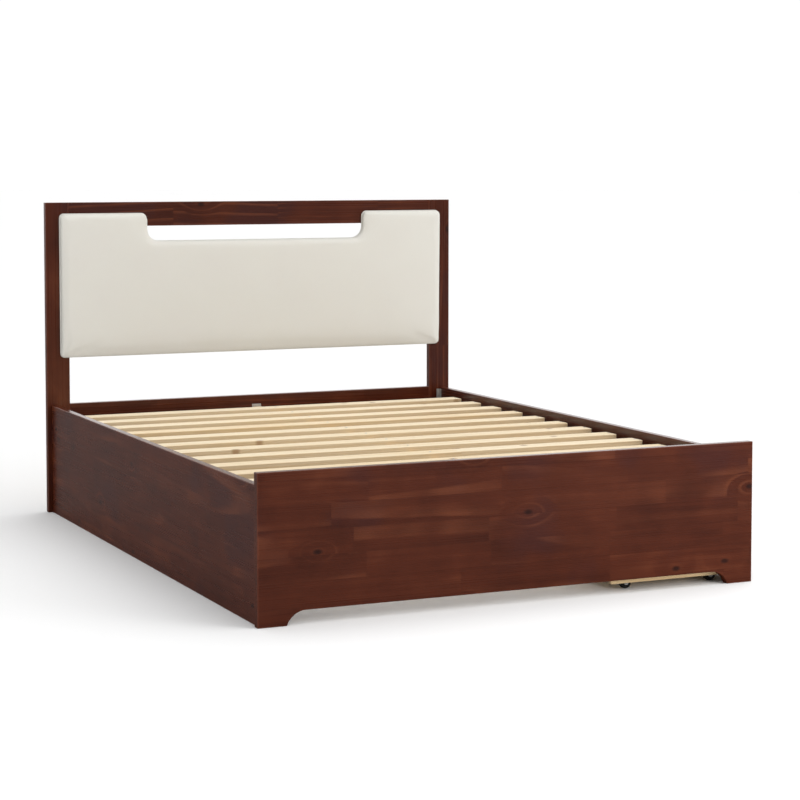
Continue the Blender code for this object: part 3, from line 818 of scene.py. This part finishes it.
def plywood(node_name, axes, seed):
    """Dresses one CAD board in plywood whose face grain, width and thickness run along axes."""
    made, tree, shader = finish_tree(node_name + "_plywood", 0.58)
    point = object_point(tree)
    grain = grain_in(tree, point, axes, seed, 1.3, 5.0)
    parts = put(tree, "SeparateXYZ", point).outputs
    facing = surface_facing(tree)
    level = calc(tree, "MULTIPLY_ADD", calc(tree, "SUBTRACT", grain["Streak"], 0.5), 1.6, 0.45)
    face = mixed(tree, remap(tree, level, 0.0, 1.0), PLY_PALE, PLY_WARM)
    face = mixed(tree, calc(tree, "MULTIPLY", grain["Rings"], 0.30), face, PLY_WARM)
    face = mixed(tree, remap(tree, grain["Fibre"], 0.55, 0.80, 0.0, 0.35), face, PLY_DARK)
    low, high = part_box(node_name)
    thickness = high[axes[2]] - low[axes[2]]
    plies = max(3, round(thickness / PLY_THICKNESS / 2) * 2 - 1)
    layer = calc(tree, "DIVIDE", calc(tree, "SUBTRACT", parts[axes[2]], low[axes[2]]), thickness / plies)
    odd = calc(tree, "GREATER_THAN", calc(tree, "MODULO", layer, 2.0), 1.0)
    glue = calc(tree, "LESS_THAN", calc(tree, "FRACT", layer), 0.12)
    edge = mixed(tree, odd, PLY_PALE, PLY_WARM)
    dark = calc(tree, "MULTIPLY", calc(tree, "MAXIMUM", glue, grain["Fibre"]), 0.5)
    edge = mixed(tree, dark, edge, PLY_DARK)
    on_edge = remap(tree, facing[axes[2]], 0.5, 0.8, 1.0, 0.0)
    tree.links.new(mixed(tree, on_edge, face, edge), shader.inputs["Base Color"])
    tree.links.new(remap(tree, grain["Fibre"], 0.2, 0.8, 0.5, 0.7), shader.inputs["Roughness"])
    bump(tree, shader, grain["Fibre"], 0.0002)
    dress(node_name, made)


plywood("headboard_pad_board", ALONG_X, 71.7)


# Drawers: each a stained front with a finger dip in its top edge, on a plywood box of two sides,
# a back and a floor. The box rolls on four castors that are screwed under its floor.
for place, drawer in enumerate(("drawer_foot", "drawer_head")):
    stain_board(drawer + "_front", ALONG_Y, 61.45 + 5.2 * place, 0.0633, 0.52)
    plywood(drawer + "_side_near_foot", (0, 2, 1), 81.1 + place)
    plywood(drawer + "_side_near_head", (0, 2, 1), 84.3 + place)
    plywood(drawer + "_back", ALONG_Y, 87.5 + place)
    plywood(drawer + "_floor", (1, 0, 2), 90.7 + place)


# Sheet steel: seats for the centre beam, angles in the corners and the castors' forks, all
# pressed from thin plate and bright zinc plated, which leaves a faint cloud and rolling marks.
ZINC = tint(226, 224, 220)
ZINC_SHADE = tint(190, 190, 188)


def zinc_finish(name):
    """Zinc plate: cells of slightly different grey, with fine marks in one direction."""
    made, tree, shader = finish_tree(name, 0.45, Metallic=0.7)
    point = object_point(tree)
    cells = put(tree, "TexVoronoi", point, None, 160.0)
    cell = put(tree, "SeparateColor", cells.outputs["Color"]).outputs[0]
    marks_point = put(tree, "Mapping", point)
    marks_point.inputs["Scale"].default_value = (40.0, 40.0, 900.0)
    marks = clouds(tree, marks_point.outputs[0], 1.0, 3.0)
    shade = calc(tree, "MULTIPLY_ADD", cell, 0.35, calc(tree, "MULTIPLY", marks, 0.4))
    colour = mixed(tree, shade, ZINC, ZINC_SHADE)
    tree.links.new(colour, shader.inputs["Base Color"])
    rough = remap(tree, calc(tree, "ADD", cell, marks), 0.3, 1.5, 0.36, 0.54)
    tree.links.new(rough, shader.inputs["Roughness"])
    bump(tree, shader, marks, 0.0001)
    return made


ZINC_STEEL = zinc_finish("bright_zinc")
STEEL_NODES = [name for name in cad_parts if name.startswith(("beam_seat", "corner_angle"))]
STEEL_NODES += [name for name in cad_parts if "_fork_" in name]
for name in STEEL_NODES:
    dress(name, ZINC_STEEL)


# Castor wheels: black nylon turned smooth, a crowned tread with a ring groove on each face and a
# raised hub that runs on the fork's riveted axle.
WHEEL_NODES = sorted(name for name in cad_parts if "_wheel_" in name)
WHEEL_SIDES = 48
HUB_RADIUS = 0.0062
BORE_RADIUS = 0.0031
TREAD_SHARE = 0.72
CROWN_DROP = 0.0002
SHOULDER_DROP = 0.0018
GROOVE_DEPTH = 0.0018
HUB_RISE = 0.0002
NYLON_BLACK = tint(24, 23, 23)
NYLON_DUSTY = tint(58, 56, 54)


def black_nylon():
    """Moulded nylon, greyed by floor dust on its tread."""
    made, tree, shader = finish_tree("black_nylon", 0.45)
    point = object_point(tree)
    dust = remap(tree, clouds(tree, point, 240.0, 3.0, 0.6), 0.45, 0.75, 0.0, 0.5)
    tree.links.new(mixed(tree, dust, NYLON_BLACK, NYLON_DUSTY), shader.inputs["Base Color"])
    tree.links.new(remap(tree, dust, 0.0, 0.5, 0.38, 0.62), shader.inputs["Roughness"])
    bump(tree, shader, clouds(tree, point, 900.0), 0.00008)
    return made


BLACK_NYLON = black_nylon()


def wheel_profile(radius, half):
    """(radius, along) points from tread to bore on one face, mirrored for the other: a crown,
    a rounded shoulder, a groove as deep as a half sine's square root, and the hub."""
    crown = np.linspace(0.0, 1.0, 5)
    tread = np.column_stack([radius - CROWN_DROP * crown**2, half * TREAD_SHARE * crown])
    turn = np.linspace(0.0, math.pi / 2, 5)[1:]
    shoulder = np.column_stack([
        radius - CROWN_DROP - SHOULDER_DROP * (1 - np.cos(turn)),
        half * (TREAD_SHARE + (1 - TREAD_SHARE) * np.sin(turn)),
    ])
    across = np.linspace(0.0, 1.0, 9)[1:]
    rim = radius - CROWN_DROP - SHOULDER_DROP
    groove_radius = rim - across * (rim - HUB_RADIUS - 0.0012)
    groove = np.column_stack([groove_radius, half - GROOVE_DEPTH * np.sin(math.pi * across) ** 0.5])
    hub = np.array([[HUB_RADIUS, half - HUB_RISE], [HUB_RADIUS - 0.0006, half + HUB_RISE],
                    [BORE_RADIUS, half + HUB_RISE]])
    face = np.vstack([tread, shoulder, groove, hub])
    return np.vstack([face, face[:0:-1] * (1, -1)])


def castor_wheel(node_name):
    """One wheel: the profile turned about its axle, which lies along Y."""
    low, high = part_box(node_name)
    middle = (np.array(low) + np.array(high)) / 2
    profile = wheel_profile((high.z - low.z) / 2, (high.y - low.y) / 2 - HUB_RISE)
    angles = np.linspace(0.0, 2 * math.pi, WHEEL_SIDES, endpoint=False)[:, None]
    points = np.stack([
        middle[0] + profile[:, 0] * np.sin(angles),
        middle[1] + profile[:, 1] + 0.0 * angles,
        middle[2] - profile[:, 0] * np.cos(angles),
    ], -1).reshape(-1, 3)
    faces = sleeve_faces(WHEEL_SIDES, len(profile), True)
    piece = place_mesh(node_name + "_turned", points, faces, node_name, BLACK_NYLON, 50)
    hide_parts(node_name)


for name in WHEEL_NODES:
    dress(name, BLACK_NYLON)
    castor_wheel(name)


# Screws and staples: zinc plated. Each slat is screwed down at its ends and over the beam, the
# pad is screwed to the posts and rail from behind, and its cloth is held by staples.
SCREW_SIDES = 24
SCREW_RISE = 0.0011
SCREW_RINGS = np.array([1.0, 1.0, 0.93, 0.80, 0.68, 0.55, 0.42, 0.28, 0.14])
SLAT_SCREW_INSET = 0.010
ANGLE_SCREW_INSET = 0.022
STEEL = 0.002
STAPLE_SECTION = np.array([
    (-0.0006, 0.0), (-0.0005, 0.0005), (0.0, 0.0007), (0.0005, 0.0005), (0.0006, 0.0),
])


def screw_crown():
    """A screw head of radius one and rise one: a dome as 0.95 less 0.35 times the fourth power of
    the radius, with a cross driven into its middle that is deeper nearer the axis."""
    angles = np.linspace(0.0, 2 * math.pi, SCREW_SIDES, endpoint=False)[None, :]
    radius = SCREW_RINGS[:, None]
    across = radius * np.cos(angles)
    up = radius * np.sin(angles)
    rise = 0.95 - 0.35 * (radius + 0.0 * angles) ** 4
    rise[0] = 0.0
    in_cross = (np.minimum(np.abs(across), np.abs(up)) < 0.13) & (radius < 0.66)
    rise = np.where(in_cross, rise - 0.62 * (0.7 - radius) / 0.7 - 0.10, rise)
    return np.stack([across, up, rise], -1).reshape(-1, 3)


SCREW_CROWN = screw_crown()


def screws(name, body, places, facing, radius):
    """Screw heads at places on a face that looks along plus or minus X, Y or Z."""
    axis = "XYZ".index(facing[1])
    sign = 1.0 if facing[0] == "+" else -1.0
    head = np.zeros_like(SCREW_CROWN)
    head[:, (axis + 1) % 3] = SCREW_CROWN[:, 0] * radius
    head[:, (axis + 2) % 3] = SCREW_CROWN[:, 1] * radius * sign
    head[:, axis] = SCREW_CROWN[:, 2] * SCREW_RISE * sign
    places = np.array(places, float)
    points = (places[:, None, :] + head[None]).reshape(-1, 3)
    faces = copied_faces(capped_faces(len(SCREW_RINGS), SCREW_SIDES), len(head), len(places))
    place_mesh(name, points, faces, body, ZINC_STEEL, 35)


def slat_screws():
    """One screw near each end of every slat, over the batten, and one over the centre beam."""
    places = []
    for slat in SLATS:
        low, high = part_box(slat)
        middle = (low.y + high.y) / 2
        across = (low.x + SLAT_SCREW_INSET, 0.0, high.x - SLAT_SCREW_INSET)
        places += [(x, middle, high.z) for x in across]
    screws("slat_screws", "frame", places, "+Z", radius=0.0040)


def angle_screws():
    """Two screws through each leg of the four corner angles."""
    places_facing = {"+X": [], "-X": [], "+Y": [], "-Y": []}
    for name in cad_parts:
        if name.startswith("corner_angle"):
            low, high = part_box(name)
            side, x_sign, x_facing = (low.x, 1, "+X") if name.endswith("left") else (high.x, -1, "-X")
            end, y_sign, y_facing = (low.y, 1, "+Y") if "_foot_" in name else (high.y, -1, "-Y")
            beside = (low.x + high.x + x_sign * STEEL) / 2
            behind = (low.y + high.y + y_sign * STEEL) / 2
            for z in (low.z + ANGLE_SCREW_INSET, high.z - ANGLE_SCREW_INSET):
                places_facing[x_facing].append((side + x_sign * STEEL, behind, z))
                places_facing[y_facing].append((beside, end + y_sign * STEEL, z))
    for facing, places in places_facing.items():
        word = facing.replace("+", "plus_").replace("-", "minus_").lower()
        screws("angle_screws_" + word, "frame", places, facing, radius=0.0034)


def seat_screws():
    """Two small screws in the tab of each beam seat, above the beam."""
    for end, facing in (("head", "-Y"), ("foot", "+Y")):
        low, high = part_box("beam_seat_" + end)
        face = high.y - STEEL if end == "head" else low.y + STEEL
        places = [(x, face, high.z - 0.005) for x in (-0.010, 0.010)]
        screws(f"seat_screws_{end}", "frame", places, facing, radius=0.0028)


def pad_screws():
    """Screws from behind through the posts and the top rail into the pad's board."""
    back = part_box("headboard_left_post")[1].y
    lap = (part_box("headboard_right_post")[0].x + PAD_HIGH.x) / 2
    heights = (PAD_LOW.z + 0.06, (PAD_LOW.z + PAD_HIGH.z) / 2, PAD_HIGH.z - 0.07)
    places = [(side * lap, back, z) for side in (-1, 1) for z in heights]
    rail_height = (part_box("headboard_top_rail")[0].z + PAD_HIGH.z) / 2
    places += [(side * x, back, rail_height) for side in (-1, 1) for x in (0.50, 0.66)]
    screws("pad_screws", "frame", places, "+Y", radius=0.0046)


def drawer_screws():
    """Screws through each drawer side into its back, and through the castors' plates."""
    for drawer in ("drawer_foot", "drawer_head"):
        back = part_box(drawer + "_back")
        for word, facing in (("near_foot", "-Y"), ("near_head", "+Y")):
            low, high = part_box(f"{drawer}_side_{word}")
            face = low.y if facing == "-Y" else high.y
            places = [((back[0].x + back[1].x) / 2, face, z) for z in (0.075, 0.125, 0.175)]
            screws(f"{drawer}_side_screws_{word}", drawer, places, facing, radius=0.0036)
        places = []
        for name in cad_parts:
            if name.startswith(drawer + "_fork"):
                low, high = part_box(name)
                middle = (low.y + high.y) / 2
                places += [(x, middle, high.z - STEEL) for x in (low.x + 0.0045, high.x - 0.0045)]
        screws(drawer + "_castor_screws", drawer, places, "-Z", radius=0.0030)


def hem_staples():
    """Staples across the hem: each a bar of half-round section, set square to the cut edge."""
    side, rise = STAPLE_SECTION.T
    back = PAD_BOARD_BACK + HEM_THICKNESS * HEM_FOLD + STAPLE_GAP
    points = []
    for chain in (HEM_BOTTOM, HEM_NOTCH):
        length = np.hypot(*np.diff(chain, axis=0).T).sum()
        path = along_chain(chain, int(length / STAPLE_SPACING))[1:-1]
        across = inward(path)
        along = np.column_stack([across[:, 1], -across[:, 0]])
        middle = path + across * HEM_WIDTH * 0.62
        for end in (-0.5, 0.5):
            run = middle + along * STAPLE_LENGTH * end
            flat = run[:, None, :] + across[:, None, :] * side[None, :, None]
            depth = np.broadcast_to(back + rise, flat.shape[:2])
            points.append(np.stack([flat[:, :, 0], depth, flat[:, :, 1]], -1))
    ends = [np.concatenate(points[k::2]) for k in (0, 1)]
    bars = np.concatenate(ends, axis=1)
    faces = copied_faces(capped_faces(2, len(side)), bars.shape[1], len(bars))
    place_mesh("hem_staples", bars.reshape(-1, 3), faces, "frame", ZINC_STEEL)


slat_screws()
angle_screws()
seat_screws()
pad_screws()
drawer_screws()
hem_staples()


# Leg shoes: moulded black nylon sleeves pushed over the feet of the three centre legs, which
# keep the raw end grain off the floor. Friction alone holds them.
SHOE_WALL = 0.0022
SHOE_HEIGHT = 0.016
SHOE_CORNER = 0.0006
SHOE_GAP = 0.0003


def leg_shoe(name, leg):
    """A sleeve round one leg: a rounded rectangle swept up, out over a lip and down inside."""
    low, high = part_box(leg)
    middle = np.array([(low.x + high.x) / 2, (low.y + high.y) / 2])
    half = np.array([(high.x - low.x) / 2, (high.y - low.y) / 2]) + SHOE_GAP
    rings = []
    for outset, z in ((0.0, 0.0), (SHOE_WALL, 0.0), (SHOE_WALL, 0.013),
                      (SHOE_WALL * 0.7, SHOE_HEIGHT - 0.0008),
                      (SHOE_WALL * 0.3, SHOE_HEIGHT), (0.0, SHOE_HEIGHT - 0.0006)):
        bend = SHOE_CORNER + outset
        x, y = half + outset - bend
        corners = [
            arc_points(x * side, y * end, bend, turn, turn + 90, 4)
            for side, end, turn in ((1, 1, 0), (-1, 1, 90), (-1, -1, 180), (1, -1, 270))
        ]
        ring = np.vstack(corners) + middle
        rings.append(np.column_stack([ring, np.full(len(ring), z + 0.0002)]))
    faces = sleeve_faces(len(rings), len(rings[0]), True)
    place_mesh(name, np.vstack(rings), faces, "frame", BLACK_NYLON, 40)


for number, leg in enumerate(LEGS, 1):
    leg_shoe(f"leg_shoe_{number}", leg)
